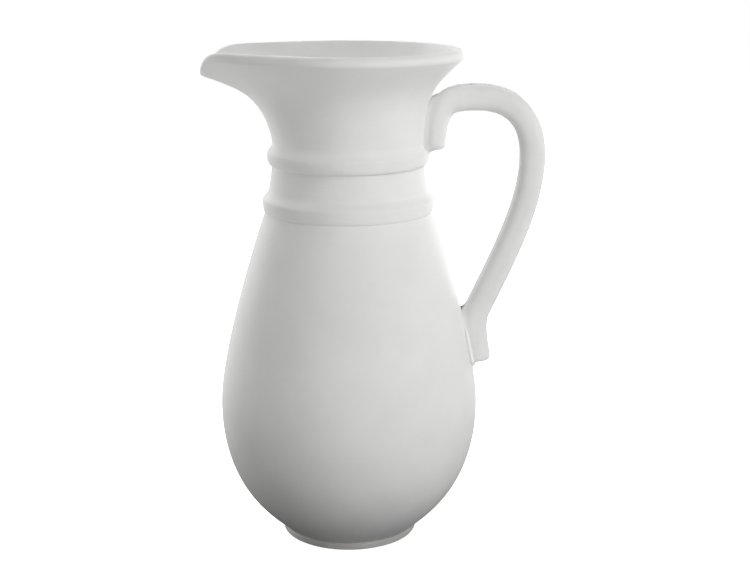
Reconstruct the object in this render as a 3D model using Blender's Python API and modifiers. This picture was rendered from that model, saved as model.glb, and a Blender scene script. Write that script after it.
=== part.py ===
"""Ceramic pitcher: thrown body, collar and flared mouth, two raised bands, foot ring and strap handle.

Units are metres and +Z is up. The pitcher stands on z = 0 and is centred in X and Y on its own
bounding box: the spout points along -X and the handle along +X. Each piece is one solid, and
neighbours are 0.3 mm apart, which is the layer of slip between them.
"""
import math

import bmesh
import bpy
from mathutils import Matrix, Vector

SLIP_GAP = 0.0003
STEPS_ROUND = 48
MERGE_DISTANCE = 0.00001

# Heights of the turned pieces, stacked from the table up.
FOOT_HEIGHT = 0.0041
BODY_HEIGHT = 0.1852
LOWER_BAND_HEIGHT = 0.0138
COLLAR_HEIGHT = 0.0125
UPPER_BAND_HEIGHT = 0.0128
MOUTH_HEIGHT = 0.0510

# Foot ring: a low ring whose tongue sits in a groove under the body.
FOOT_TOP_RADIUS = 0.0390
FOOT_TAPER = 0.0003
FOOT_EDGE_RADIUS = 0.0016
FOOT_WIDTH = 0.0082
TONGUE_WIDTH = 0.0026
TONGUE_HEIGHT = 0.0016

# Body: radii on the outside, and how far the outline runs straight from each of its ends.
BODY_BASE_INSET = 0.0011
BODY_BASE_ANGLE = math.radians(44.0)
BODY_BASE_PULL = 0.0115
BELLY_RADIUS = 0.0736
BELLY_HEIGHT = 0.0736
BELLY_PULL_DOWN = 0.0494
BELLY_PULL_UP = 0.0325
BODY_TOP_PULL = 0.0030
BODY_TOP_LEAN = math.radians(29.0)
WALL = 0.0050
FLOOR_THICKNESS = 0.0065
FLOOR_CORNER_INSET = 0.0071

# Neck: its outside radius at the top of the collar, and how far the rest stands out from it or in.
NECK_RADIUS = 0.0428
NECK_WALL = 0.0043
BODY_TOP_PROUD = 0.0040
COLLAR_BASE_PROUD = 0.0016
MOUTH_BASE_INSET = 0.0004
LOWER_BAND_PROUD = 0.0054
UPPER_BAND_PROUD = 0.0026
LOWER_SPIGOT_WALL = 0.0045
UPPER_SPIGOT_WALL = 0.0030

# Flared mouth with a rounded lip and a pulled spout.
FLARE_BASE_LEAN = math.radians(3.0)
FLARE_BASE_PULL = 0.0320
FLARE_TOP_ANGLE = math.radians(47.0)
FLARE_TOP_PULL = 0.0192
LIP_CENTRE_RADIUS = 0.0606
LIP_RADIUS = 0.0033
SPOUT_PULL = 0.0186
SPOUT_HALF_ANGLE = math.radians(59.0)
SPOUT_TAPER = 1.8
SPOUT_RISE = 1.5
SPOUT_DROP = 0.0135
DROP_HALF_ANGLE = math.radians(41.5)
DROP_TAPER = 8.8
DROP_RISE = 2.3

# Handle: a strap whose ends are pressed to the neck and to the body.
HANDLE_WIDTH = 0.0210
HANDLE_THICKNESS = 0.0140
HANDLE_CORNER = 0.0062
HANDLE_GROOVE_WIDTH = 0.0070
HANDLE_GROOVE_DEPTH = 0.0006
HANDLE_END_ROUNDING = 0.0030
HANDLE_END_SHRINK = 0.66
HANDLE_UPPER_TAPER = 0.25
HANDLE_TAPER_LENGTH = 0.0340
HANDLE_TOP_BELOW_RIM = 0.0263
HANDLE_TOP_OUT = 0.0718
HANDLE_WIDEST_BELOW_RIM = 0.0590
FINGER_ROOM = 0.0570
UPPER_ROOT_STANDOFF = 0.0063
UPPER_ROOT_BELOW_BAND_TOP = 0.0038
KNEE_HEIGHT = 0.1340
KNEE_STANDOFF = 0.0102
KNEE_LEAN = math.radians(25.0)
LOWER_ROOT_HEIGHT = 0.1030
LOWER_ROOT_STANDOFF = 0.0038
COIL_RADIUS = 0.0012
COIL_LENGTH = 0.0180

# How far each bend of the handle's centre line runs on straight, as a share of its height or reach.
ROOT_UP = 0.92
CROWN_BACK = 0.76
CROWN_ON = 0.66
SIDE_UP = 0.62
SIDE_DOWN = 0.30
KNEE_UP = 0.42
KNEE_DOWN = 0.30
HEEL_UP = 0.35
HEEL_TUCK = 0.04

# Stations worked out from the heights.
FOOT_TOP = FOOT_HEIGHT
BODY_TOP = FOOT_TOP + BODY_HEIGHT
LOWER_BAND_TOP = BODY_TOP + LOWER_BAND_HEIGHT
COLLAR_TOP = LOWER_BAND_TOP + COLLAR_HEIGHT
UPPER_BAND_TOP = COLLAR_TOP + UPPER_BAND_HEIGHT
RIM_TOP = UPPER_BAND_TOP + MOUTH_HEIGHT
LOWER_JOINT = (BODY_TOP + LOWER_BAND_TOP) / 2
UPPER_JOINT = (COLLAR_TOP + UPPER_BAND_TOP) / 2

# Radii worked out from the foot and the neck.
FOOT_TREAD_RADIUS = FOOT_TOP_RADIUS - FOOT_TAPER
BODY_BASE_RADIUS = FOOT_TOP_RADIUS - BODY_BASE_INSET
FLOOR_CORNER_RADIUS = BODY_BASE_RADIUS - FLOOR_CORNER_INSET
NECK_BORE_RADIUS = NECK_RADIUS - NECK_WALL
BODY_TOP_RADIUS = NECK_RADIUS + BODY_TOP_PROUD
COLLAR_BASE_RADIUS = NECK_RADIUS + COLLAR_BASE_PROUD
COLLAR_TOP_RADIUS = NECK_RADIUS
MOUTH_BASE_RADIUS = NECK_RADIUS - MOUTH_BASE_INSET
LOWER_BAND_BULGE = NECK_RADIUS + LOWER_BAND_PROUD
UPPER_BAND_BULGE = NECK_RADIUS + UPPER_BAND_PROUD
LOWER_SPIGOT_RADIUS = NECK_BORE_RADIUS + LOWER_SPIGOT_WALL
UPPER_SPIGOT_RADIUS = NECK_BORE_RADIUS + UPPER_SPIGOT_WALL


def bezier(start, start_pull, end_pull, end, steps):
    """Points on a cubic curve in (radius, height), both ends included."""
    points = []
    for step in range(steps + 1):
        t = step / steps
        s = 1 - t
        point = start * s ** 3 + start_pull * (3 * s * s * t) + end_pull * (3 * s * t * t) + end * t ** 3
        points.append(point)
    return points


def arc(centre, radius, first_angle, last_angle, steps):
    """Points on an arc, both ends included."""
    points = []
    for step in range(steps + 1):
        angle = first_angle + (last_angle - first_angle) * step / steps
        points.append(centre + radius * Vector((math.cos(angle), math.sin(angle))))
    return points


def tangents(points):
    """Unit direction of travel at each point of an open line."""
    directions = []
    for index in range(len(points)):
        before = points[max(index - 1, 0)]
        after = points[min(index + 1, len(points) - 1)]
        directions.append((after - before).normalized())
    return directions


def offset_line(points, first_distance, last_distance):
    """The line moved to its left, by a distance that changes evenly from first to last."""
    moved = []
    count = len(points) - 1
    for index, direction in enumerate(tangents(points)):
        distance = first_distance + (last_distance - first_distance) * index / count
        left = Vector((-direction.y, direction.x))
        moved.append(points[index] + left * distance)
    return moved


def body_outside():
    """Outside of the body from the foot up to the ledge under the lower band."""
    base = Vector((BODY_BASE_RADIUS, FOOT_TOP))
    base_pull = base + BODY_BASE_PULL * Vector((math.cos(BODY_BASE_ANGLE), math.sin(BODY_BASE_ANGLE)))
    belly = Vector((BELLY_RADIUS, FOOT_TOP + BELLY_HEIGHT))
    top = Vector((BODY_TOP_RADIUS, BODY_TOP))
    top_pull = top - BODY_TOP_PULL * Vector((math.sin(BODY_TOP_LEAN), math.cos(BODY_TOP_LEAN)))
    lower = bezier(base, base_pull, belly - Vector((0, BELLY_PULL_DOWN)), belly, 9)
    upper = bezier(belly, belly + Vector((0, BELLY_PULL_UP)), top_pull, top, 10)
    return lower + upper[1:]


def band_outside(bottom_radius, bulge_radius, top_radius, bottom, top):
    """Outside of a raised band: a bead that is fullest at mid height."""
    middle = (bottom + top) / 2
    pull_radius = (bulge_radius * 8 - bottom_radius - top_radius) / 6
    pull_height = (top - bottom) / 8
    start_pull = Vector((pull_radius, middle - pull_height))
    end_pull = Vector((pull_radius, middle + pull_height))
    return bezier(Vector((bottom_radius, bottom)), start_pull, end_pull, Vector((top_radius, top)), 6)


def lower_band_outside():
    """Outside of the band between the body and the collar."""
    return band_outside(BODY_TOP_RADIUS, LOWER_BAND_BULGE, COLLAR_BASE_RADIUS, BODY_TOP, LOWER_BAND_TOP)


def upper_band_outside():
    """Outside of the band between the collar and the mouth."""
    return band_outside(COLLAR_TOP_RADIUS, UPPER_BAND_BULGE, MOUTH_BASE_RADIUS, COLLAR_TOP, UPPER_BAND_TOP)


def collar_outside():
    """Outside of the neck collar, between the two bands."""
    base = Vector((COLLAR_BASE_RADIUS, LOWER_BAND_TOP))
    top = Vector((COLLAR_TOP_RADIUS, COLLAR_TOP))
    base_pull = base.lerp(top, 1 / 3) - Vector((SLIP_GAP, 0))
    top_pull = base.lerp(top, 2 / 3) - Vector((SLIP_GAP, 0))
    return bezier(base, base_pull, top_pull, top, 4)


def flare_outside():
    """Outside of the mouth from the upper band to where the rounded lip begins."""
    base = Vector((MOUTH_BASE_RADIUS, UPPER_BAND_TOP))
    base_pull = base + FLARE_BASE_PULL * Vector((math.sin(FLARE_BASE_LEAN), math.cos(FLARE_BASE_LEAN)))
    rise = Vector((math.cos(FLARE_TOP_ANGLE), math.sin(FLARE_TOP_ANGLE)))
    lip_centre = Vector((LIP_CENTRE_RADIUS, RIM_TOP - LIP_RADIUS))
    end = lip_centre + LIP_RADIUS * Vector((rise.y, -rise.x))
    return bezier(base, base_pull, end - FLARE_TOP_PULL * rise, end, 12)


def vessel_outside():
    """The whole outside of the round vessel, from the body's base to the lip."""
    bands = lower_band_outside()[1:] + collar_outside()[1:] + upper_band_outside()[1:]
    return body_outside() + bands + flare_outside()[1:]


def radius_at(points, height):
    """Radius of a rising outline at a height."""
    for low, high in zip(points, points[1:]):
        if low.y <= height <= high.y:
            share = (height - low.y) / (high.y - low.y)
            return low.x + (high.x - low.x) * share
    return points[-1].x


def make_material(name, colour, roughness):
    """Unglazed ceramic: one Principled BSDF in linear colour."""
    material = bpy.data.materials.new(name)
    material.use_nodes = True
    shader = material.node_tree.nodes["Principled BSDF"]
    shader.inputs["Base Color"].default_value = (*colour, 1.0)
    shader.inputs["Roughness"].default_value = roughness
    shader.inputs["Metallic"].default_value = 0.0
    shader.inputs["IOR"].default_value = 1.5
    material.diffuse_color = (*colour, 1.0)
    return material


def add_object(name, mesh, collection, parent):
    """Link a mesh to a collection, under the empty that marks the vessel's axis."""
    made = bpy.data.objects.new(name, mesh)
    collection.objects.link(made)
    made.parent = parent
    return made


def turned(name, outline, closed, collection, parent):
    """Spin an outline round the vessel's axis. It runs down the outside and back up the inside."""
    points = [Vector((point.x, 0, point.y)) for point in outline]
    edges = [(index, index + 1) for index in range(len(points) - 1)]
    if closed:
        edges.append((len(points) - 1, 0))
    mesh = bpy.data.meshes.new(name)
    mesh.from_pydata(points, edges, [])
    made = add_object(name, mesh, collection, parent)
    screw = made.modifiers.new("Turn", "SCREW")
    screw.axis = "Z"
    screw.angle = math.tau
    screw.steps = STEPS_ROUND
    screw.render_steps = STEPS_ROUND
    screw.use_merge_vertices = True
    screw.merge_threshold = MERGE_DISTANCE
    screw.use_normal_calculate = True
    return made


def freeze(made):
    """Turn an object's modifiers into plain mesh."""
    bpy.context.view_layer.update()
    evaluated = made.evaluated_get(bpy.context.evaluated_depsgraph_get())
    mesh = bpy.data.meshes.new_from_object(evaluated)
    made.modifiers.clear()
    made.data = mesh


def face_outward(made):
    """Weld stray doubles and point every face out of the solid."""
    shape = bmesh.new()
    shape.from_mesh(made.data)
    bmesh.ops.remove_doubles(shape, verts=shape.verts[:], dist=MERGE_DISTANCE)
    bmesh.ops.recalc_face_normals(shape, faces=shape.faces[:])
    shape.to_mesh(made.data)
    shape.free()


def tongue_radii():
    """Inner and outer radius of the tongue that stands on the foot ring."""
    middle = FOOT_TREAD_RADIUS - FOOT_WIDTH / 2
    return middle - TONGUE_WIDTH / 2, middle + TONGUE_WIDTH / 2


def foot_outline():
    """Section of the foot ring with its tongue."""
    tongue_in, tongue_out = tongue_radii()
    top = FOOT_TOP - SLIP_GAP
    foot_in = FOOT_TREAD_RADIUS - FOOT_WIDTH
    edge_centre = Vector((FOOT_TREAD_RADIUS - FOOT_EDGE_RADIUS, FOOT_EDGE_RADIUS))
    outline = [
        Vector((tongue_out, top + TONGUE_HEIGHT)),
        Vector((tongue_out, top)),
        Vector((FOOT_TOP_RADIUS, top)),
    ]
    outline += arc(edge_centre, FOOT_EDGE_RADIUS, 0, -math.pi / 2, 3)
    outline += [
        Vector((foot_in, 0)),
        Vector((foot_in, top)),
        Vector((tongue_in, top)),
        Vector((tongue_in, top + TONGUE_HEIGHT)),
    ]
    return outline


def body_outline():
    """Section of the body: spigot, outside, grooved underside, floor and inside."""
    outside = body_outside()
    inside = offset_line(outside, WALL, WALL)
    floor_top = FOOT_TOP + FLOOR_THICKNESS
    tongue_in, tongue_out = tongue_radii()
    groove_top = FOOT_TOP + TONGUE_HEIGHT + SLIP_GAP
    spigot_top = LOWER_JOINT - SLIP_GAP / 2
    outline = [
        Vector((NECK_BORE_RADIUS, spigot_top)),
        Vector((LOWER_SPIGOT_RADIUS, spigot_top)),
        Vector((LOWER_SPIGOT_RADIUS, BODY_TOP)),
    ]
    outline += outside[::-1]
    outline += [
        Vector((tongue_out + SLIP_GAP, FOOT_TOP)),
        Vector((tongue_out + SLIP_GAP, groove_top)),
        Vector((tongue_in - SLIP_GAP, groove_top)),
        Vector((tongue_in - SLIP_GAP, FOOT_TOP)),
        Vector((0, FOOT_TOP)),
    ]
    floor = [Vector((0, floor_top)), Vector((FLOOR_CORNER_RADIUS, floor_top))]
    above_floor = [point for point in inside if point.y > floor_top + WALL / 2]
    return outline, floor + above_floor


def band_outline(outside, spigot_radius):
    """Section of a band that slides over the spigots with a slip gap all round."""
    trimmed = outside[:]
    trimmed[0] = outside[0] + Vector((0, SLIP_GAP))
    trimmed[-1] = outside[-1] - Vector((0, SLIP_GAP))
    bore = spigot_radius + SLIP_GAP
    return trimmed[::-1] + [Vector((bore, trimmed[0].y)), Vector((bore, trimmed[-1].y))]


def collar_outline():
    """Section of the neck collar with a spigot at each end."""
    top = UPPER_JOINT - SLIP_GAP / 2
    bottom = LOWER_JOINT + SLIP_GAP / 2
    outline = [Vector((UPPER_SPIGOT_RADIUS, top)), Vector((UPPER_SPIGOT_RADIUS, COLLAR_TOP))]
    outline += collar_outside()[::-1]
    outline += [
        Vector((LOWER_SPIGOT_RADIUS, LOWER_BAND_TOP)),
        Vector((LOWER_SPIGOT_RADIUS, bottom)),
        Vector((NECK_BORE_RADIUS, bottom)),
        Vector((NECK_BORE_RADIUS, top)),
    ]
    return outline


def mouth_outline():
    """Section of the mouth: rounded lip, flare, spigot and bore."""
    outside = flare_outside()
    inside = offset_line(outside, WALL, 2 * LIP_RADIUS)
    lip_centre = Vector((LIP_CENTRE_RADIUS, RIM_TOP - LIP_RADIUS))
    lip_start = FLARE_TOP_ANGLE - math.pi / 2
    lip = arc(lip_centre, LIP_RADIUS, lip_start + math.pi, lip_start, 8)
    bottom = UPPER_JOINT + SLIP_GAP / 2
    outline = lip + outside[-2::-1]
    outline += [
        Vector((UPPER_SPIGOT_RADIUS, UPPER_BAND_TOP)),
        Vector((UPPER_SPIGOT_RADIUS, bottom)),
        Vector((NECK_BORE_RADIUS, bottom)),
    ]
    outline += [point for point in inside[:-1] if point.x > NECK_BORE_RADIUS]
    return outline


def spout_shift(angle_from_spout, height):
    """How far the spout moves a point of the mouth outward and down."""
    rise = max(height - UPPER_BAND_TOP, 0) / MOUTH_HEIGHT
    turn = min(abs(angle_from_spout) / SPOUT_HALF_ANGLE, 1)
    drop_turn = min(abs(angle_from_spout) / DROP_HALF_ANGLE, 1)
    out = SPOUT_PULL * (1 - turn ** 2) ** SPOUT_TAPER * rise ** SPOUT_RISE
    return out, SPOUT_DROP * (1 - drop_turn ** 2) ** DROP_TAPER * rise ** DROP_RISE


def pull_spout(mouth):
    """Draw the lip out along -X, as a potter does with a finger."""
    for vertex in mouth.data.vertices:
        radius = math.hypot(vertex.co.x, vertex.co.y)
        out, down = spout_shift(math.atan2(vertex.co.y, -vertex.co.x), vertex.co.z)
        scale = (radius + out) / radius
        vertex.co = Vector((vertex.co.x * scale, vertex.co.y * scale, vertex.co.z - down))


def handle_line():
    """Centre line of the strap in (radius, height), from the neck to the body."""
    wall = vessel_outside()
    root_height = UPPER_BAND_TOP - UPPER_ROOT_BELOW_BAND_TOP
    root = Vector((MOUTH_BASE_RADIUS + UPPER_ROOT_STANDOFF, root_height))
    crown = Vector((HANDLE_TOP_OUT, RIM_TOP - HANDLE_TOP_BELOW_RIM))
    widest_height = RIM_TOP - HANDLE_WIDEST_BELOW_RIM
    widest = Vector((radius_at(wall, widest_height) + FINGER_ROOM, widest_height))
    knee = Vector((radius_at(wall, KNEE_HEIGHT) + KNEE_STANDOFF, KNEE_HEIGHT))
    foot = Vector((radius_at(wall, LOWER_ROOT_HEIGHT) + LOWER_ROOT_STANDOFF, LOWER_ROOT_HEIGHT))
    lean = Vector((math.sin(KNEE_LEAN), math.cos(KNEE_LEAN)))
    across = crown.x - root.x
    rise = crown.y - root.y
    over = widest.x - crown.x
    fall = crown.y - widest.y
    drop = widest.y - knee.y
    last = knee.y - foot.y
    crown_pull = crown - Vector((across * CROWN_BACK, 0))
    line = bezier(root, root + Vector((0, rise * ROOT_UP)), crown_pull, crown, 9)
    turn_pull = widest + Vector((0, fall * SIDE_UP))
    line += bezier(crown, crown + Vector((over * CROWN_ON, 0)), turn_pull, widest, 8)[1:]
    line += bezier(widest, widest - Vector((0, drop * SIDE_DOWN)), knee + lean * drop * KNEE_UP, knee, 8)[1:]
    heel_pull = foot + (knee - foot) * HEEL_UP - Vector((last * HEEL_TUCK, 0))
    line += bezier(knee, knee - lean * last * KNEE_DOWN, heel_pull, foot, 7)[1:]
    return line


def strap_section():
    """Section of the strap in (across, outward), with a shallow groove along its back."""
    half_width = HANDLE_WIDTH / 2
    half_depth = HANDLE_THICKNESS / 2
    inset_width = half_width - HANDLE_CORNER
    inset_depth = half_depth - HANDLE_CORNER
    groove_half = HANDLE_GROOVE_WIDTH / 2
    points = []
    for sign_width, sign_depth, first in ((1, 1, 0), (-1, 1, 1), (-1, -1, 2), (1, -1, 3)):
        centre = Vector((sign_width * inset_width, sign_depth * inset_depth))
        points += arc(centre, HANDLE_CORNER, first * math.pi / 2, (first + 1) * math.pi / 2, 4)
        if first == 0:
            points.append(Vector((groove_half, half_depth)))
            points.append(Vector((0, half_depth - HANDLE_GROOVE_DEPTH)))
            points.append(Vector((-groove_half, half_depth)))
    return points


def end_share(distance):
    """How full the strap is at a distance from its end, so that the end is rounded."""
    if distance >= HANDLE_END_ROUNDING:
        return 1.0
    share = 1 - distance / HANDLE_END_ROUNDING
    return 1 - (1 - HANDLE_END_SHRINK) * (1 - math.sqrt(1 - share * share))


def root_taper(distance):
    """How much of its thickness the strap keeps: it is pressed thinner towards its upper end."""
    return 1 - HANDLE_UPPER_TAPER * max(1 - distance / HANDLE_TAPER_LENGTH, 0)


def swept_strap(name, line, section, collection, parent):
    """Carry the section along the line and close both ends."""
    lengths = [0.0]
    for before, after in zip(line, line[1:]):
        lengths.append(lengths[-1] + (after - before).length)
    shape = bmesh.new()
    rings = []
    for point, direction, length in zip(line, tangents(line), lengths):
        from_end = min(length, lengths[-1] - length)
        share = end_share(from_end)
        thickness = share * root_taper(length)
        outward = Vector((-direction.y, direction.x))
        ring = []
        for across, depth in section:
            place = point + outward * depth * thickness
            ring.append(shape.verts.new((place.x, across * share, place.y)))
        rings.append(ring)
    count = len(section)
    for ring, following in zip(rings, rings[1:]):
        for index in range(count):
            after = (index + 1) % count
            shape.faces.new((ring[index], ring[after], following[after], following[index]))
    shape.faces.new(rings[0][::-1])
    shape.faces.new(rings[-1])
    mesh = bpy.data.meshes.new(name)
    shape.to_mesh(mesh)
    shape.free()
    return add_object(name, mesh, collection, parent)


def cut_with(made, cutter):
    """Cut one solid away from another and keep plain mesh."""
    boolean = made.modifiers.new("Fit to wall", "BOOLEAN")
    boolean.operation = "DIFFERENCE"
    boolean.solver = "EXACT"
    boolean.object = cutter
    freeze(made)


def coil_side(wall, strap_rising, height):
    """How far from the middle a coil that lies on the wall touches the strap's rounded side."""
    between = HANDLE_CORNER + SLIP_GAP + COIL_RADIUS
    sag = (HANDLE_WIDTH / 2) ** 2 / radius_at(wall, height) / 2
    corner_depth = HANDLE_THICKNESS / 2 - HANDLE_CORNER
    above = radius_at(strap_rising, height) - corner_depth - radius_at(wall, height) + sag
    return HANDLE_WIDTH / 2 - HANDLE_CORNER + math.sqrt(max(between ** 2 - above ** 2, 0))


def slip_coil(name, strap_line, collection, parent):
    """A thin coil pressed round the sides and bottom of the handle's lower end."""
    wall = offset_line(vessel_outside(), -(SLIP_GAP + COIL_RADIUS), -(SLIP_GAP + COIL_RADIUS))
    strap_rising = strap_line[::-1]
    dip = HANDLE_THICKNESS / 2 * HANDLE_END_SHRINK * max(tangents(strap_line)[-1].x, 0)
    bottom = LOWER_ROOT_HEIGHT - dip - SLIP_GAP - COIL_RADIUS
    corner = HANDLE_END_ROUNDING + SLIP_GAP + COIL_RADIUS
    bend = bottom + corner
    side = coil_side(wall, strap_rising, bend)
    heights = [bend + COIL_LENGTH * (1 - step / 5) for step in range(5)]
    near_side = [(-coil_side(wall, strap_rising, height), height) for height in heights]
    centre = Vector((-side + corner, bend))
    near_side += [tuple(point) for point in arc(centre, corner, math.pi, math.pi * 1.5, 4)]
    near_side += [(centre.x * step / 3, bottom) for step in (2, 1)]
    places = near_side + [(0, bottom)] + [(-across, height) for across, height in near_side[::-1]]
    curve = bpy.data.curves.new(name, "CURVE")
    curve.dimensions = "3D"
    curve.bevel_depth = COIL_RADIUS
    curve.bevel_resolution = 2
    curve.use_fill_caps = True
    spline = curve.splines.new("POLY")
    spline.points.add(len(places) - 1)
    for target, (across, height) in zip(spline.points, places):
        reach = math.sqrt(radius_at(wall, height) ** 2 - across ** 2)
        target.co = (reach, across, height, 1)
    drawn = bpy.data.objects.new(name + "_curve", curve)
    collection.objects.link(drawn)
    bpy.context.view_layer.update()
    evaluated = drawn.evaluated_get(bpy.context.evaluated_depsgraph_get())
    mesh = bpy.data.meshes.new_from_object(evaluated)
    bpy.data.objects.remove(drawn)
    return add_object(name, mesh, collection, parent)


def build():
    """Make every piece of the pitcher."""
    for old in list(bpy.data.objects):
        bpy.data.objects.remove(old)
    pieces = bpy.data.collections.new("ceramic_pitcher")
    cutters = bpy.data.collections.new("cutters")
    bpy.context.scene.collection.children.link(pieces)
    bpy.context.scene.collection.children.link(cutters)

    spout_reach = LIP_CENTRE_RADIUS + LIP_RADIUS + spout_shift(0, RIM_TOP - LIP_RADIUS)[0]
    strap_line = handle_line()
    handle_reach = max(point.x for point in strap_line) + HANDLE_THICKNESS / 2
    axis = bpy.data.objects.new("vessel_axis", None)
    axis.location = ((spout_reach - handle_reach) / 2, 0, 0)
    pieces.objects.link(axis)

    foot = turned("foot_ring", foot_outline(), True, pieces, axis)
    freeze(foot)

    outside, inside = body_outline()
    body = turned("body", outside + inside, True, pieces, axis)
    freeze(body)

    lower_outline = band_outline(lower_band_outside(), LOWER_SPIGOT_RADIUS)
    lower_band = turned("lower_neck_band", lower_outline, True, pieces, axis)
    freeze(lower_band)

    collar = turned("neck_collar", collar_outline(), True, pieces, axis)
    freeze(collar)

    upper_outline = band_outline(upper_band_outside(), UPPER_SPIGOT_RADIUS)
    upper_band = turned("upper_neck_band", upper_outline, True, pieces, axis)
    freeze(upper_band)

    mouth = turned("flared_mouth", mouth_outline(), True, pieces, axis)
    freeze(mouth)
    pull_spout(mouth)

    envelope = offset_line(vessel_outside(), -SLIP_GAP, -SLIP_GAP)
    envelope = [Vector((0, envelope[-1].y))] + envelope[::-1] + [Vector((0, envelope[0].y))]
    wall_cutter = turned("wall_cutter", envelope, False, cutters, axis)
    wall_cutter.display_type = "WIRE"
    wall_cutter.hide_render = True
    freeze(wall_cutter)
    face_outward(wall_cutter)

    handle = swept_strap("handle", strap_line, strap_section(), pieces, axis)
    face_outward(handle)
    cut_with(handle, wall_cutter)

    coil = slip_coil("handle_slip_coil", strap_line, pieces, axis)

    colours = {
        foot: (0.600, 0.597, 0.590),
        body: (0.620, 0.617, 0.610),
        lower_band: (0.622, 0.619, 0.612),
        collar: (0.620, 0.617, 0.610),
        upper_band: (0.622, 0.619, 0.612),
        mouth: (0.625, 0.622, 0.615),
        handle: (0.615, 0.612, 0.605),
        coil: (0.630, 0.627, 0.620),
    }
    for made, colour in colours.items():
        face_outward(made)
        made.data.materials.clear()
        made.data.materials.append(make_material(made.name + "_ceramic", colour, 0.75))


build()
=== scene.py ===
# A matte white pitcher: round body on a low foot ring, two beads round the neck, a flared mouth with a
# pulled spout, and a strap handle. Metres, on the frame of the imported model, with the axis upright.
import bisect
import math

import bmesh
import bpy
from mathutils import Matrix, Vector
from mathutils.geometry import interpolate_bezier


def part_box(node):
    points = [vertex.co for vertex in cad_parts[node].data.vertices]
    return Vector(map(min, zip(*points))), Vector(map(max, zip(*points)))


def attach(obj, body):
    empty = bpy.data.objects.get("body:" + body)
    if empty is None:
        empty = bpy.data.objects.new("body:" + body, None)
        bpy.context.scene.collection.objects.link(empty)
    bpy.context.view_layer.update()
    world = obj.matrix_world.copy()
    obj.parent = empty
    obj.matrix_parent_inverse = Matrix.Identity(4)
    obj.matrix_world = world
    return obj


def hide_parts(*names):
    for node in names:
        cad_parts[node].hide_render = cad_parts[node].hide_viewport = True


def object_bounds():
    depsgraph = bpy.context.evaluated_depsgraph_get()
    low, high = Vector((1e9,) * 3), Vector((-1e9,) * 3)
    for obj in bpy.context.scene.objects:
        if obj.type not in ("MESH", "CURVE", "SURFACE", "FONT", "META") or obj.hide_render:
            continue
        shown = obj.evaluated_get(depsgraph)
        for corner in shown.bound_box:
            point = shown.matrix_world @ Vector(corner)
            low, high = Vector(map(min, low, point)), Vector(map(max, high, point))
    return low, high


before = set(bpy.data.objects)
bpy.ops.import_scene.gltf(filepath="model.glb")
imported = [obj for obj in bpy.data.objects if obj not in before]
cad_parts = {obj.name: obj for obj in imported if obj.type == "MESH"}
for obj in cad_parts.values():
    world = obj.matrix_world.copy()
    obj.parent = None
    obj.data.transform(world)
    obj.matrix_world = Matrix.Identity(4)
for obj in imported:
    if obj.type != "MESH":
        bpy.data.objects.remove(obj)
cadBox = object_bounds()
print("frame loaded with", len(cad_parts), "solids")

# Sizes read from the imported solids.
slip = 0.0003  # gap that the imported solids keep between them
bodyLow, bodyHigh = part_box("body")
footLow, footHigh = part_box("foot_ring")
lowerLow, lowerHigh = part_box("lower_neck_band")
upperLow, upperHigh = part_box("upper_neck_band")
axisX = (bodyLow.x + bodyHigh.x) / 2
footTop = bodyLow.z
bodyTop = lowerLow.z - slip
lowerBandTop = lowerHigh.z + slip
collarTop = upperLow.z - slip
upperBandTop = upperHigh.z + slip
rimTop = cadBox[1].z
bellyRadius = (bodyHigh.x - bodyLow.x) / 2
footRadius = (footHigh.x - footLow.x) / 2
lowerBulge = (lowerHigh.x - lowerLow.x) / 2
upperBulge = (upperHigh.x - upperLow.x) / 2
lowerJoint = (bodyTop + lowerBandTop) / 2
upperJoint = (collarTop + upperBandTop) / 2

turning = {
    "steps": 192,  # facets round the axis
    "weld": 0.000001,
    "sharpAngle": 38,  # degrees; anything crisper stays an edge
}


# Helpers for outlines, drawn as (radius, height) from the axis.
def stretch(start, pull, drag, end, count):
    return interpolate_bezier(start, pull, drag, end, count)


def ray(length, degrees):
    angle = math.radians(degrees)
    return length * Vector((math.cos(angle), math.sin(angle)))


def rounded(centre, radius, first, last, count):
    turn = (last - first) / (count - 1)
    return [centre + ray(radius, first + turn * step) for step in range(count)]


def directions(outline):
    ends = zip(outline[:1] + outline[:-1], outline[1:] + outline[-1:])
    return [(after - before).normalized() for before, after in ends]


def inward(outline, first, last):  # the same line further in, by a depth that changes from first to last
    moved = []
    for index, (point, way) in enumerate(zip(outline, directions(outline))):
        depth = first + (last - first) * index / (len(outline) - 1)
        moved.append(point + depth * Vector((-way.y, way.x)))
    return moved


def turnShape(outline):  # spins a closed outline round the vessel's axis
    shape = bmesh.new()
    spots = [shape.verts.new((point.x, 0, point.y)) for point in outline]
    rims = [shape.edges.new(pair) for pair in zip(spots, spots[1:])]
    if outline[0].x > turning["weld"]:
        rims.append(shape.edges.new((spots[-1], spots[0])))
    bmesh.ops.spin(shape, geom=spots + rims, cent=(0, 0, 0), axis=(0, 0, 1), angle=math.tau,
                   steps=turning["steps"], use_merge=True)
    bmesh.ops.remove_doubles(shape, verts=shape.verts[:], dist=turning["weld"])
    return shape


def sweep(shape, places):  # carries a section through a row of places and closes the open ends
    ring = shape.edges[:]
    bmesh.ops.transform(shape, matrix=places[0], verts=shape.verts[:])
    for before, after in zip(places, places[1:]):
        grown = bmesh.ops.extrude_edge_only(shape, edges=ring)["geom"]
        ring = [part for part in grown if isinstance(part, bmesh.types.BMEdge)]
        moved = [part for part in grown if isinstance(part, bmesh.types.BMVert)]
        bmesh.ops.transform(shape, matrix=after @ before.inverted(), verts=moved)
    bmesh.ops.holes_fill(shape, edges=[edge for edge in shape.edges if edge.is_boundary])


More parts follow.
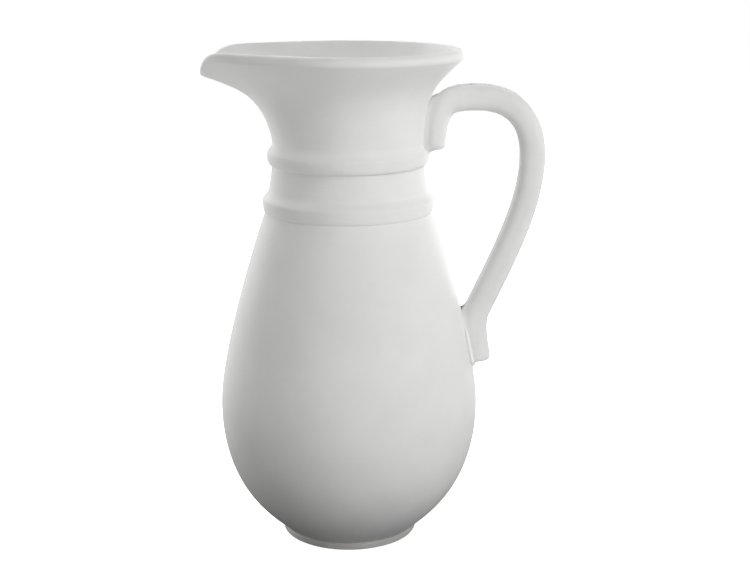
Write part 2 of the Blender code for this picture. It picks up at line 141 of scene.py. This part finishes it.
def addPiece(name, shape, material, node):  # closes a shape into a finished piece that stands for a node
    bmesh.ops.translate(shape, verts=shape.verts[:], vec=(axisX, 0, 0))
    bmesh.ops.recalc_face_normals(shape, faces=shape.faces[:])
    mesh = bpy.data.meshes.new(name)
    shape.to_mesh(mesh)
    shape.free()
    mesh.shade_smooth()
    mesh.set_sharp_from_angle(angle=math.radians(turning["sharpAngle"]))
    mesh.materials.append(material)
    piece = bpy.data.objects.new(name, mesh)
    bpy.context.scene.collection.objects.link(piece)
    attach(piece, "root")
    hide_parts(node)
    print(name, "made:", len(mesh.polygons), "faces")


# Materials.
def linear(hexColour):  # sRGB hex to the linear colour that the shader wants
    parts = [int(hexColour[start:start + 2], 16) / 255 for start in (1, 3, 5)]
    return [part / 12.92 if part <= 0.04045 else ((part + 0.055) / 1.055) ** 2.4 for part in parts] + [1.0]


def addNode(tree, kind, settings=None, values=None, links=None):  # one node, its settings, values and links
    node = tree.nodes.new(kind)
    for key, value in (settings or {}).items():
        setattr(node, key, value)
    for key, value in (values or {}).items():
        node.inputs[key].default_value = value
    for key, source in (links or {}).items():
        tree.links.new(source, node.inputs[key])
    return node


wavePeriod = math.pi / 10  # a wave texture of scale 1 repeats this often


def bisque(name, finish):
    # Bisque-fired white earthenware, unglazed: chalky and open, so light spreads and nothing shines.
    material = bpy.data.materials.new(name)
    material.use_nodes = True
    tree = material.node_tree
    shader = tree.nodes["Principled BSDF"]
    shader.inputs["IOR"].default_value = 1.5
    shader.inputs["Metallic"].default_value = 0.0
    shader.inputs["Specular IOR Level"].default_value = finish["shine"]
    shader.inputs["Diffuse Roughness"].default_value = finish["chalk"]
    place = addNode(tree, "ShaderNodeTexCoord")
    centred = addNode(tree, "ShaderNodeMapping", None, {"Location": (-axisX, 0, 0)},
                      {"Vector": place.outputs["Object"]})
    point = centred.outputs["Vector"]
    cloud = addNode(tree, "ShaderNodeTexNoise", None,
                    {"Scale": 1 / finish["cloudSize"], "Detail": finish["cloudDetail"],
                     "Roughness": finish["cloudRoughness"]}, {"Vector": point})
    grain = addNode(tree, "ShaderNodeTexNoise", None,
                    {"Scale": 1 / finish["grainSize"], "Detail": finish["grainDetail"],
                     "Roughness": finish["grainRoughness"]}, {"Vector": point})
    rings = addNode(tree, "ShaderNodeTexWave", {"bands_direction": "Z"},
                    {"Scale": wavePeriod / finish["ringSpacing"], "Distortion": finish["ringWander"],
                     "Detail": finish["ringDetail"], "Detail Scale": finish["ringDetailScale"]},
                    {"Vector": point})
    cells = addNode(tree, "ShaderNodeTexVoronoi", None, {"Scale": 1 / finish["poreSpacing"]},
                    {"Vector": point})
    poreShare = finish["poreSize"] / finish["poreSpacing"]
    pore = addNode(tree, "ShaderNodeMapRange", None,
                   {"From Min": poreShare / 2, "From Max": poreShare, "To Min": 0.0, "To Max": 1.0},
                   {"Value": cells.outputs["Distance"]})
    tone = addNode(tree, "ShaderNodeMapRange", None,
                   {"From Min": 0.5 - finish["cloudSpread"], "From Max": 0.5 + finish["cloudSpread"]},
                   {"Value": cloud.outputs["Fac"]})
    clay = addNode(tree, "ShaderNodeMix", {"data_type": "RGBA"},
                   {"A": linear(finish["shade"]), "B": linear(finish["colour"])},
                   {"Factor": tone.outputs["Result"]})
    # painted shade: each pinhole takes a darker colour, the shade that would fall inside the pit
    pitShaded = addNode(tree, "ShaderNodeMix", {"data_type": "RGBA"}, {"A": linear(finish["paintedPoreShade"])},
                     {"Factor": pore.outputs["Result"], "B": clay.outputs["Result"]})
    matt = addNode(tree, "ShaderNodeMapRange", None,
                   {"To Min": finish["roughness"] - finish["roughnessSpread"],
                    "To Max": finish["roughness"] + finish["roughnessSpread"]},
                   {"Value": grain.outputs["Fac"]})
    pitBump = addNode(tree, "ShaderNodeBump", None, {"Distance": finish["poreDepth"]},
                      {"Height": pore.outputs["Result"]})
    ringBump = addNode(tree, "ShaderNodeBump", None, {"Distance": finish["ringHeight"]},
                       {"Height": rings.outputs["Fac"], "Normal": pitBump.outputs["Normal"]})
    grainBump = addNode(tree, "ShaderNodeBump", None, {"Distance": finish["grainHeight"]},
                        {"Height": grain.outputs["Fac"], "Normal": ringBump.outputs["Normal"]})
    tree.links.new(pitShaded.outputs["Result"], shader.inputs["Base Color"])
    tree.links.new(matt.outputs["Result"], shader.inputs["Roughness"])
    tree.links.new(grainBump.outputs["Normal"], shader.inputs["Normal"])
    return material


turnedClay = {
    "colour": "#e9e9e8",  # fired white, no glaze
    "shade": "#e5e5e4",
    # painted shade: the darker tone drawn inside each pinhole
    "paintedPoreShade": "#dfdedc",
    "roughness": 0.72,
    "roughnessSpread": 0.06,
    "shine": 0.3,
    "chalk": 0.6,
    "cloudSize": 0.028,
    "cloudDetail": 4.0,
    "cloudRoughness": 0.6,
    "cloudSpread": 0.15,  # how far either side of the middle of the noise the two tones reach
    "grainSize": 0.0011,  # real grain is 0.2 mm, drawn coarser to show
    "grainDetail": 3.0,
    "grainRoughness": 0.65,
    "grainHeight": 0.00003,
    "ringSpacing": 0.0026,  # finger rings, sponged almost flat
    "ringHeight": 0.00001,
    "ringWander": 1.6,
    "ringDetail": 2.0,
    "ringDetailScale": 0.05,
    "poreSpacing": 0.014,
    "poreSize": 0.0005,
    "poreDepth": 0.00005,
}
pressedClay = {**turnedClay, "ringHeight": 0.000002, "grainHeight": 0.00004, "cloudSize": 0.018}
slipClay = {**turnedClay, "colour": "#ededec", "shade": "#e8e8e7", "ringHeight": 0.0, "grainSize": 0.0008}
footClay = {**turnedClay, "colour": "#e4e3e0", "shade": "#dddbd7", "grainHeight": 0.00006, "roughness": 0.8}

turnedBisque = bisque("turned_bisque", turnedClay)
pressedBisque = bisque("pressed_bisque", pressedClay)
slipBisque = bisque("joining_slip_bisque", slipClay)
footBisque = bisque("rubbed_foot_bisque", footClay)
print("materials made")

# Outside of the vessel, from the foot to the lip.
bodySet = {
    "baseInset": 0.0011,  # the wall starts this far inside the foot ring
    "baseAngle": 44,  # degrees above level where the wall leaves the foot
    "basePull": 0.0115,
    "bellyHeight": 0.0736,  # widest place, above the foot ring
    "pullDown": 0.0494,
    "pullUp": 0.0325,
    "topRadius": 0.0468,
    "topPull": 0.0030,
    "topLean": 29,  # degrees off upright under the lower bead
    "wall": 0.0050,
    "floor": 0.0065,
    "floorCorner": 0.0310,
    "floorEase": 0.0040,  # how softly the floor turns up into the wall
    "wallEase": 0.0030,
    "wallEnd": 1.2,  # the inner wall stops this many walls above the floor
    "bore": 0.0385,
    "spigotRadius": 0.0430,
}
base = Vector((footRadius - bodySet["baseInset"], footTop))
belly = Vector((bellyRadius, footTop + bodySet["bellyHeight"]))
shoulder = Vector((bodySet["topRadius"], bodyTop))
bodyOutside = stretch(base, base + ray(bodySet["basePull"], bodySet["baseAngle"]),
                      belly - Vector((0, bodySet["pullDown"])), belly, count=40)
bodyOutside += stretch(belly, belly + Vector((0, bodySet["pullUp"])),
                       shoulder + ray(bodySet["topPull"], bodySet["topLean"] - 90), shoulder,
                       count=52)[1:]

beadSet = {
    "lowOut": 0.72,  # how the bead leaves the crease under it, as shares of its stand and half height
    "lowUp": 0.06,
    "belowFull": 0.64,
    "aboveFull": 0.30,
    "fade": 0.50,  # it fades softly into the wall above
}


def beadOutside(low, bulge, high):
    middle = Vector((bulge, (low.y + high.y) / 2))
    half = (high.y - low.y) / 2
    under = stretch(low, low + Vector(((bulge - low.x) * beadSet["lowOut"], half * beadSet["lowUp"])),
                    middle - Vector((0, half * beadSet["belowFull"])), middle, count=14)
    over = stretch(middle, middle + Vector((0, half * beadSet["aboveFull"])),
                   high - Vector((0, half * beadSet["fade"])), high, count=16)
    return under + over[1:]


neckSet = {
    "collarBase": 0.0444,
    "collarTop": 0.0428,
    "hollow": 0.0003,  # the collar is a shade hollow
    "mouthBase": 0.0424,
    "spigotRadius": 0.0415,
    "play": 0.0001,  # between a bead and the spigot it slides over
}
collarLow = Vector((neckSet["collarBase"], lowerBandTop))
collarHigh = Vector((neckSet["collarTop"], collarTop))
hollow = Vector((neckSet["hollow"], 0))
collarOutside = stretch(collarLow, collarLow.lerp(collarHigh, 1 / 3) - hollow,
                        collarLow.lerp(collarHigh, 2 / 3) - hollow, collarHigh, count=16)

mouthSet = {
    "baseLean": 87,  # degrees above level where the flare starts
    "basePull": 0.0320,
    "topAngle": 47,  # degrees above level where the flare meets the lip
    "topPull": 0.0192,
    "lipCentre": 0.0606,
    "lipRadius": 0.0033,
    "spoutPull": 0.0186,
    "spoutHalfAngle": 59,  # degrees from the middle of the spout to where the rim is round again
    "spoutTaper": 1.8,  # powers that shape the pull round the rim and up the flare
    "spoutRise": 1.5,
    "spoutDrop": 0.0135,  # the rim also dips at the middle of the spout
    "dropHalfAngle": 41.5,
    "dropTaper": 8.8,
    "dropRise": 2.3,
}
mouthBase = Vector((neckSet["mouthBase"], upperBandTop))
lipCentre = Vector((mouthSet["lipCentre"], rimTop - mouthSet["lipRadius"]))
flareEnd = lipCentre + ray(mouthSet["lipRadius"], mouthSet["topAngle"] - 90)
flareOutside = stretch(mouthBase, mouthBase + ray(mouthSet["basePull"], mouthSet["baseLean"]),
                       flareEnd - ray(mouthSet["topPull"], mouthSet["topAngle"]), flareEnd, count=56)

lowerBead = beadOutside(shoulder, lowerBulge, collarLow)
upperBead = beadOutside(collarHigh, upperBulge, mouthBase)
vesselOutside = bodyOutside + lowerBead[1:] + collarOutside[1:] + upperBead[1:] + flareOutside[1:]
vesselWays = directions(vesselOutside)
vesselHeights = [point.y for point in vesselOutside]


def wallAt(height):  # outside radius and outward direction of the wall at a height
    index = min(max(bisect.bisect_right(vesselHeights, height) - 1, 0), len(vesselOutside) - 2)
    low, high = vesselOutside[index], vesselOutside[index + 1]
    share = min(max((height - low.y) / (high.y - low.y), 0), 1)
    way = vesselWays[index].lerp(vesselWays[index + 1], share).normalized()
    return low.x + (high.x - low.x) * share, Vector((way.y, -way.x))


# Foot ring.
footSet = {
    "taper": 0.0003,
    "edge": 0.0016,  # worn edge of the tread
    "shoulder": 0.0008,  # softer edge where the ring stands out under the belly
    "width": 0.0082,
    "tongueWidth": 0.0026,
    "tongueHeight": 0.0016,
}
tread = footRadius - footSet["taper"]
footInside = tread - footSet["width"]
tongueOut = tread - footSet["width"] / 2 + footSet["tongueWidth"] / 2
tongueIn = tongueOut - footSet["tongueWidth"]
tongueTop = footTop + footSet["tongueHeight"]
play = neckSet["play"]
edge, shoulderEdge = footSet["edge"], footSet["shoulder"]
footOutline = [Vector((tongueOut, tongueTop)), Vector((tongueOut, footTop))]
footOutline += rounded(Vector((footRadius - shoulderEdge, footTop - shoulderEdge)), shoulderEdge,
                       first=90, last=0, count=7)
footOutline += rounded(Vector((tread - edge, edge)), edge, first=0, last=-90, count=10)
footOutline += rounded(Vector((footInside + edge / 2, edge / 2)), edge / 2, first=270, last=180, count=8)
footOutline += [Vector((footInside, footTop)), Vector((tongueIn, footTop)), Vector((tongueIn, tongueTop))]
addPiece("foot_ring_turned", turnShape(footOutline), footBisque, "foot_ring")

# Body.
floorTop = footTop + bodySet["floor"]
grooveTop = tongueTop + play
bodyInside = inward(bodyOutside, bodySet["wall"], bodySet["wall"])
bodyOutline = [Vector((0, footTop)), Vector((tongueIn - play, footTop)),
               Vector((tongueIn - play, grooveTop)), Vector((tongueOut + play, grooveTop)),
               Vector((tongueOut + play, footTop))]
bodyOutline += bodyOutside
bodyOutline += [Vector((bodySet["spigotRadius"], bodyTop)), Vector((bodySet["spigotRadius"], lowerJoint)),
                Vector((bodySet["bore"], lowerJoint))]
wallEnd = floorTop + bodySet["wall"] * bodySet["wallEnd"]
aboveFloor = [point for point in bodyInside[::-1] if point.y > wallEnd]
floorEdge = Vector((bodySet["floorCorner"] - bodySet["floorEase"], floorTop))
bodyOutline += aboveFloor
bodyOutline += stretch(aboveFloor[-1], aboveFloor[-1] - Vector((bodySet["wallEase"], bodySet["wallEase"])),
                       floorEdge + Vector((bodySet["floorEase"], 0)), floorEdge, count=10)[1:]
bodyOutline += [Vector((0, floorTop))]
addPiece("body_turned", turnShape(bodyOutline), turnedBisque, "body")


# Beads and collar.
def beadOutline(outside, spigotRadius):
    bore = spigotRadius + play
    return outside + [Vector((bore, outside[-1].y)), Vector((bore, outside[0].y))]


addPiece("lower_bead", turnShape(beadOutline(lowerBead, bodySet["spigotRadius"])), turnedBisque,
         "lower_neck_band")
addPiece("upper_bead", turnShape(beadOutline(upperBead, neckSet["spigotRadius"])), turnedBisque,
         "upper_neck_band")
collarOutline = [Vector((bodySet["spigotRadius"], lowerBandTop)), *collarOutside,
                 Vector((neckSet["spigotRadius"], collarTop)), Vector((neckSet["spigotRadius"], upperJoint)),
                 Vector((bodySet["bore"], upperJoint)), Vector((bodySet["bore"], lowerJoint)),
                 Vector((bodySet["spigotRadius"], lowerJoint))]
addPiece("collar_turned", turnShape(collarOutline), turnedBisque, "neck_collar")

# Mouth with its spout.
flareInside = inward(flareOutside, bodySet["wall"], 2 * mouthSet["lipRadius"])
mouthOutline = [Vector((neckSet["spigotRadius"], upperJoint)),
                Vector((neckSet["spigotRadius"], upperBandTop))]
mouthOutline += flareOutside[:-1]
mouthOutline += rounded(lipCentre, mouthSet["lipRadius"], first=mouthSet["topAngle"] - 90,
                        last=mouthSet["topAngle"] + 90, count=22)
mouthOutline += [point for point in flareInside[-2::-1] if point.x > bodySet["bore"]]
mouthOutline += [Vector((bodySet["bore"], upperJoint))]
mouth = turnShape(mouthOutline)
for vert in mouth.verts:
    rise = max(vert.co.z - upperBandTop, 0) / (rimTop - upperBandTop)
    angle = abs(math.degrees(math.atan2(vert.co.y, -vert.co.x)))
    pulled = (1 - min(angle / mouthSet["spoutHalfAngle"], 1) ** 2) ** mouthSet["spoutTaper"]
    dropped = (1 - min(angle / mouthSet["dropHalfAngle"], 1) ** 2) ** mouthSet["dropTaper"]
    radius = math.hypot(vert.co.x, vert.co.y)
    reach = 1 + mouthSet["spoutPull"] * pulled * rise ** mouthSet["spoutRise"] / radius
    fall = mouthSet["spoutDrop"] * dropped * rise ** mouthSet["dropRise"]
    vert.co = Vector((vert.co.x * reach, vert.co.y * reach, vert.co.z - fall))
addPiece("mouth_with_spout", mouth, turnedBisque, "flared_mouth")

# Strap handle.
handleSet = {
    "width": 0.0210,
    "thickness": 0.0140,
    "corner": 0.0062,
    "grooveWidth": 0.0070,  # shallow hollow down the back
    "grooveDepth": 0.0006,
    "endRounding": 0.0030,
    "endShrink": 0.66,
    "upperTaper": 0.25,  # pressed thinner towards the neck
    "taperLength": 0.0340,
    "crownBelowRim": 0.0263,
    "crownOut": 0.0718,
    "widestBelowRim": 0.0590,
    "fingerRoom": 0.0570,
    "rootStandoff": 0.0063,
    "rootBelowBand": 0.0038,
    "kneeHeight": 0.1340,
    "kneeStandoff": 0.0102,
    "kneeLean": 65,  # degrees above level
    "footHeight": 0.1030,
    "footStandoff": 0.0038,
    "fillet": 0.0018,
    "pressed": 0.0014,  # a gap up to this deep under the strap is closed where it was pressed on
    "web": 0.0038,  # and the clay draws away from the wall over this much
    "sink": 0.0004,
    "facingFull": 0.8,  # a side that turns this much to the wall is drawn all the way
    "bendPoints": 50,  # points along each bend after the first
    # how far each bend runs on straight, as a share of its height or reach
    "rootUp": 0.92,
    "crownBack": 0.76,
    "crownOn": 0.66,
    "sideUp": 0.62,
    "sideDown": 0.30,
    "kneeUp": 0.42,
    "kneeDown": 0.30,
    "heelUp": 0.35,
    "heelTuck": 0.04,
}
root = Vector((neckSet["mouthBase"] + handleSet["rootStandoff"],
               upperBandTop - handleSet["rootBelowBand"]))
crown = Vector((handleSet["crownOut"], rimTop - handleSet["crownBelowRim"]))
widestHeight = rimTop - handleSet["widestBelowRim"]
widest = Vector((wallAt(widestHeight)[0] + handleSet["fingerRoom"], widestHeight))
knee = Vector((wallAt(handleSet["kneeHeight"])[0] + handleSet["kneeStandoff"], handleSet["kneeHeight"]))
heel = Vector((wallAt(handleSet["footHeight"])[0] + handleSet["footStandoff"], handleSet["footHeight"]))
across, rise = crown - root
over, fall = widest.x - crown.x, crown.y - widest.y
drop, last = widest.y - knee.y, knee.y - heel.y
strapLine = stretch(root, root + Vector((0, rise * handleSet["rootUp"])),
                    crown - Vector((across * handleSet["crownBack"], 0)), crown, count=60)
strapLine += stretch(crown, crown + Vector((over * handleSet["crownOn"], 0)),
                     widest + Vector((0, fall * handleSet["sideUp"])), widest,
                     handleSet["bendPoints"])[1:]
strapLine += stretch(widest, widest - Vector((0, drop * handleSet["sideDown"])),
                     knee + ray(drop * handleSet["kneeUp"], handleSet["kneeLean"]), knee,
                     handleSet["bendPoints"])[1:]
heelPull = heel.lerp(knee, handleSet["heelUp"]) - Vector((last * handleSet["heelTuck"], 0))
strapLine += stretch(knee, knee - ray(last * handleSet["kneeDown"], handleSet["kneeLean"]), heelPull, heel,
                     handleSet["bendPoints"])[1:]
lengths = [0.0]
for before, after in zip(strapLine, strapLine[1:]):
    lengths.append(lengths[-1] + (after - before).length)


def strapFrame(point, way, fullness, thickness):  # lays the flat section across the strap's line
    back = Vector((-way.y, way.x)) * fullness * thickness
    return Matrix(((0, back.x, way.x, point.x), (fullness, 0, 0, 0),
                   (0, back.y, way.y, point.y), (0, 0, 0, 1)))


def endFullness(distance):
    if distance >= handleSet["endRounding"]:
        return 1.0
    share = 1 - distance / handleSet["endRounding"]
    return 1 - (1 - handleSet["endShrink"]) * (1 - math.sqrt(1 - share * share))


stations = []
for point, way, length in zip(strapLine, directions(strapLine), lengths):
    fromEnd = min(length, lengths[-1] - length)
    thickness = 1 - handleSet["upperTaper"] * max(1 - length / handleSet["taperLength"], 0)
    stations.append(strapFrame(point, way, endFullness(fromEnd), thickness))
shrinks = [0.93, 0.8, 0.65, 0.5, 0.35, 0.2, 0.08, 0.01]  # rings that close each end
first, final = stations[0], stations[-1]
stations = [first @ Matrix.Diagonal((size, size, 1, 1)) for size in shrinks[::-1]] + stations
stations += [final @ Matrix.Diagonal((size, size, 1, 1)) for size in shrinks]

strap = bmesh.new()
halfWidth, halfDepth = handleSet["width"] / 2, handleSet["thickness"] / 2
corners = [strap.verts.new((halfWidth * x, halfDepth * y, 0))
           for x, y in ((1, 1), (-1, 1), (-1, -1), (1, -1))]
strap.faces.new(corners)
bmesh.ops.bevel(strap, geom=corners, offset=handleSet["corner"], affect="VERTICES", segments=10, profile=0.5,
                material=-1)
# The two long sides of the section.
straight = [edge for edge in strap.edges if edge.calc_length() > handleSet["corner"] / 2]
# The cuts also run across the face, so the sweep leaves a thin wall inside the strap at each of them.
bmesh.ops.subdivide_edges(strap, edges=straight, cuts=19)
for vert in strap.verts:
    if vert.co.y > 0 and abs(vert.co.x) < handleSet["grooveWidth"] / 2:
        dip = math.cos(vert.co.x / handleSet["grooveWidth"] * math.pi) ** 2
        vert.co.y -= handleSet["grooveDepth"] * dip
bmesh.ops.delete(strap, geom=strap.faces[:], context="FACES_ONLY")
sweep(strap, stations)
bmesh.ops.recalc_face_normals(strap, faces=strap.faces[:])
strap.normal_update()


def eased(value):
    share = min(max(value, 0), 1)
    return share * share * (3 - 2 * share)


def wallNear(spot):  # how far a spot stands off the wall, and the way out of the wall there
    radius, out = wallAt(spot.z)
    flat = Vector((spot.x, spot.y, 0))
    return (flat.length - radius) * out.x, (flat.normalized() * out.x + Vector((0, 0, out.y))).normalized()


for vert in strap.verts:  # press both ends to the wall, with a small hollow fillet
    if math.hypot(vert.co.x, vert.co.y) > bellyRadius + handleSet["web"]:
        continue
    depth, wallWay = wallNear(vert.co)
    facing = -vert.normal.dot(wallWay)
    drawn = eased((handleSet["web"] - depth) / (handleSet["web"] - handleSet["pressed"]))
    drawn *= eased(facing / handleSet["facingFull"])
    vert.co += wallWay * min(-handleSet["sink"] - depth, 0) * drawn
    depth = wallNear(vert.co)[0]
    if depth < handleSet["fillet"]:
        gap = handleSet["fillet"] - max(depth, 0)
        spread = handleSet["fillet"] - math.sqrt(handleSet["fillet"] ** 2 - gap ** 2)
        sideways = vert.normal + wallWay * facing
        vert.co += sideways * spread + wallWay * max(-handleSet["sink"] - depth, 0)
addPiece("strap_handle", strap, pressedBisque, "handle")

# A bead of slip pressed into the joint round the handle's lower end.
slipSet = {
    "radius": 0.00115,
    "sink": 0.0004,  # into the wall and into the strap
    "length": 0.0180,  # how far it runs up each side of the strap
    "corner": 0.0042,
    "tipLength": 0.0070,  # it thins out over this much at each end
    "tipShare": 0.35,
    "endShare": 0.4,  # the last ring is this much smaller again
    "sideSteps": 24,
    "bendSteps": 12,
}
lastBend = strapLine[:-handleSet["bendPoints"]:-1]  # from the heel up
strapHeights = [point.y for point in lastBend]
strapReaches = [point.x for point in lastBend]


def slipSide(height):  # how far from the middle a bead on the wall touches the strap's rounded side
    index = min(max(bisect.bisect_right(strapHeights, height), 1), len(strapHeights) - 1)
    share = (height - strapHeights[index - 1]) / (strapHeights[index] - strapHeights[index - 1])
    reach = strapReaches[index - 1] + (strapReaches[index] - strapReaches[index - 1]) * share
    wall = wallAt(height)[0]
    lift = slipSet["radius"] - slipSet["sink"]
    between = handleSet["corner"] + lift
    sag = halfWidth ** 2 / wall / 2
    above = reach - (halfDepth - handleSet["corner"]) - wall - lift + sag
    return halfWidth - handleSet["corner"] + math.sqrt(max(between ** 2 - above ** 2, 0))


strapLow = handleSet["footHeight"] - halfDepth * handleSet["endShrink"] * max(directions(strapLine)[-1].x, 0)
slipLow = strapLow - slipSet["radius"] + slipSet["sink"]
bend = slipLow + slipSet["corner"]
sideSteps, bendSteps = slipSet["sideSteps"], slipSet["bendSteps"]
sideLine = [Vector((slipSide(height), height)) for height in
            [bend + slipSet["length"] * (1 - step / sideSteps) for step in range(sideSteps)]]
bendCentre = Vector((slipSide(bend) - slipSet["corner"], bend))
sideLine += rounded(bendCentre, slipSet["corner"], first=0, last=-90, count=bendSteps)
sideLine += [Vector((bendCentre.x * (1 - step / bendSteps), slipLow)) for step in range(1, bendSteps)]
slipLine = sideLine + [Vector((0, slipLow))] + [Vector((-spot.x, spot.y)) for spot in sideLine[::-1]]
route = []
for spot in slipLine:
    radius, out = wallAt(spot.y)
    flat = Vector((math.sqrt(radius ** 2 - spot.x ** 2), spot.x, 0)).normalized()
    wallWay = (flat * out.x + Vector((0, 0, out.y))).normalized()
    place = Vector((flat.x * radius, flat.y * radius, spot.y))
    place += wallWay * (slipSet["radius"] - slipSet["sink"])
    route.append((place, wallWay))
frames = []
run = 0.0
whole = sum((there[0] - here[0]).length for here, there in zip(route, route[1:]))
for index, (place, wallWay) in enumerate(route):
    before, after = route[max(index - 1, 0)][0], route[min(index + 1, len(route) - 1)][0]
    ahead = (after - before).normalized()
    run += (place - before).length
    away = ahead.cross(wallWay).normalized()
    upright = away.cross(ahead)
    tip = min(run, whole - run) / slipSet["tipLength"]
    size = slipSet["tipShare"] + (1 - slipSet["tipShare"]) * math.sin(min(max(tip, 0), 1) * math.pi / 2)
    frames.append(Matrix(((away.x * size, upright.x * size, ahead.x, place.x),
                          (away.y * size, upright.y * size, ahead.y, place.y),
                          (away.z * size, upright.z * size, ahead.z, place.z), (0, 0, 0, 1))))
closing = Matrix.Diagonal((slipSet["endShare"], slipSet["endShare"], 1, 1))
frames.insert(0, frames[0] @ closing)
frames.append(frames[-1] @ closing)
slipShape = bmesh.new()
bmesh.ops.create_circle(slipShape, segments=20, radius=slipSet["radius"])
sweep(slipShape, frames)
addPiece("lower_joint_slip", slipShape, slipBisque, "handle_slip_coil")

# Floor, light and camera.
stageSet = {
    "floorSize": 14.0,  # wide enough to run past the top of the view
    "floorColour": "#f4f4f3",
    "floorGlow": 1.0,
    "paintRoughness": 0.9,
    "cardSize": 0.23,  # dark card that keeps the light off the lowest part of the belly
    "cardColour": "#050505",
    "cardDepth": 0.0005,  # under the floor
    "backdrop": 1.0,
    "skyLight": 0.0,
    "lowLight": 0.249,
    "horizonBand": 0.3,  # the low light fades out over this much either side of level
}


def layDisc(name, radius, height, colour, glow):
    disc = bmesh.new()
    bmesh.ops.create_circle(disc, cap_ends=True, segments=96, radius=radius)
    bmesh.ops.translate(disc, verts=disc.verts[:], vec=(axisX, 0, height))
    mesh = bpy.data.meshes.new(name)
    disc.to_mesh(mesh)
    disc.free()
    paint = bpy.data.materials.new(name + "_matt_paint")
    paint.use_nodes = True
    shader = paint.node_tree.nodes["Principled BSDF"]
    shader.inputs["Base Color"].default_value = linear(colour)
    shader.inputs["Roughness"].default_value = stageSet["paintRoughness"]
    shader.inputs["Specular IOR Level"].default_value = 0.0
    shader.inputs["Emission Color"].default_value = (1, 1, 1, 1)
    shader.inputs["Emission Strength"].default_value = glow
    mesh.materials.append(paint)
    laid = bpy.data.objects.new(name, mesh)
    bpy.context.scene.collection.objects.link(laid)
    return laid


floor = layDisc("floor", stageSet["floorSize"], 0, stageSet["floorColour"], stageSet["floorGlow"])
floor.visible_diffuse = False  # an evenly white floor that throws no light back on the vessel
floor.visible_glossy = False
floor.visible_shadow = False
card = layDisc("dark_card", stageSet["cardSize"], -stageSet["cardDepth"], stageSet["cardColour"], 0.0)
card.visible_camera = False

world = bpy.data.worlds.new("studio")
bpy.context.scene.world = world
world.use_nodes = True
sky = world.node_tree
backdrop = sky.nodes["Background"]
backdrop.inputs["Color"].default_value = (1, 1, 1, 1)
where = addNode(sky, "ShaderNodeTexCoord")
split = addNode(sky, "ShaderNodeSeparateXYZ", None, None, {"Vector": where.outputs["Generated"]})
level = addNode(sky, "ShaderNodeMapRange", None,
                {"From Min": -stageSet["horizonBand"], "From Max": stageSet["horizonBand"],
                 "To Min": stageSet["lowLight"], "To Max": stageSet["skyLight"]},
                {"Value": split.outputs["Z"]})
seen = addNode(sky, "ShaderNodeLightPath")
strength = addNode(sky, "ShaderNodeMix", None, {"B": stageSet["backdrop"]},
                   {"Factor": seen.outputs["Is Camera Ray"], "A": level.outputs["Result"]})
sky.links.new(strength.outputs["Result"], backdrop.inputs["Strength"])

lamps = {  # degrees round from the front and above level, and watts
    "keyHigh": {"azimuth": 40, "elevation": 40, "power": 8.6},
    "keyLow": {"azimuth": 40, "elevation": -15, "power": 6.7},
    "front": {"azimuth": 0, "elevation": 12, "power": 2.3},
    "rimLeft": {"azimuth": -120, "elevation": 12, "power": 15.0},
    "rimLeftLow": {"azimuth": -120, "elevation": -15, "power": 10.4},
    "backLeft": {"azimuth": -160, "elevation": 40, "power": 16.0},
    "backRight": {"azimuth": 155, "elevation": 5, "power": 16.0},
}
lampSet = {"size": 0.9, "distance": 1.3}
aim = Vector((axisX, 0, rimTop / 2))
for name, lamp in lamps.items():
    light = bpy.data.lights.new(name, "AREA")
    light.shape = "SQUARE"
    light.size = lampSet["size"]
    light.energy = lamp["power"]
    azimuth, elevation = math.radians(lamp["azimuth"]), math.radians(lamp["elevation"])
    way = Vector((math.sin(azimuth) * math.cos(elevation), -math.cos(azimuth) * math.cos(elevation),
                  math.sin(elevation)))
    holder = bpy.data.objects.new(name, light)
    holder.location = aim + way * lampSet["distance"]
    holder.rotation_euler = (-way).to_track_quat("-Z", "Y").to_euler()
    holder.visible_camera = False
    bpy.context.scene.collection.objects.link(holder)

cameraSet = {
    "lens": 69.38,
    "side": 0.0429,  # from the vessel's axis
    "back": 0.7990,
    "height": 0.3417,
    "pitch": 13.62,  # degrees below level
    "azimuth": 2.0,
}
cameraData = bpy.data.cameras.new("camera")
cameraData.lens = cameraSet["lens"]
camera = bpy.data.objects.new("camera", cameraData)
camera.location = (axisX + cameraSet["side"], -cameraSet["back"], cameraSet["height"])
camera.rotation_euler = (math.radians(90 - cameraSet["pitch"]), 0, math.radians(cameraSet["azimuth"]))
bpy.context.scene.collection.objects.link(camera)
bpy.context.scene.camera = camera
bpy.context.scene.view_settings.view_transform = "Standard"
print("studio ready")
